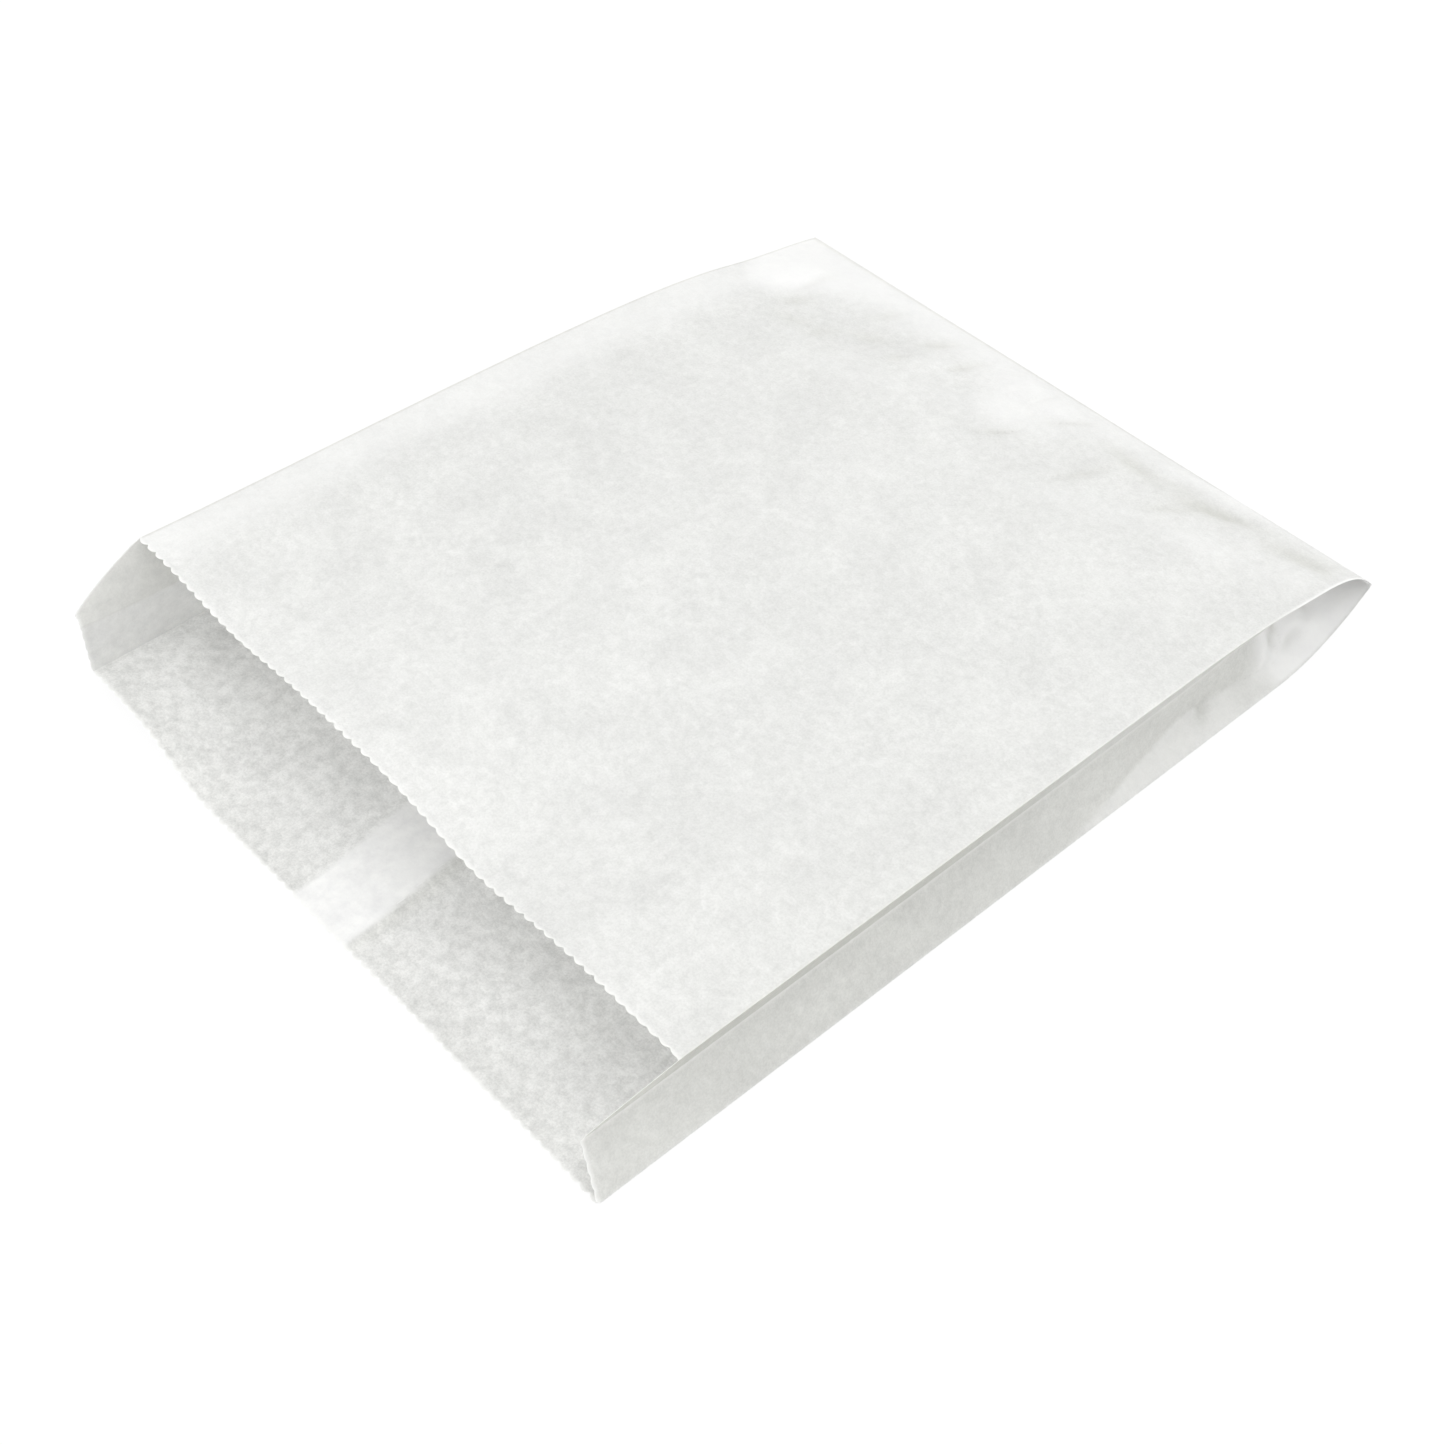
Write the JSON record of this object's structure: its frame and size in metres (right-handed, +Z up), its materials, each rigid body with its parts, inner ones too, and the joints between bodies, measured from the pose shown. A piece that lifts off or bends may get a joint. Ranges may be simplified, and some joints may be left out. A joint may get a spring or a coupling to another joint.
{
  "type": "sandwich bag",
  "caption": "Flat white paper sandwich bag with side gussets, pinked mouth and glued closed end, lying part open.",
  "frame": {"origin": "centre of the bounding box, on the table under the back panel", "axes": "+X across the bag, +Y from the mouth to the closed end, +Z up from the table"},
  "size_m": [0.165, 0.203, 0.0268],
  "materials": {
    "paper": "matt, slightly mottled thin kraft"
  },
  "bodies": {
    "root": {"paper_bag": "paper"}
  },
  "joints": []
}
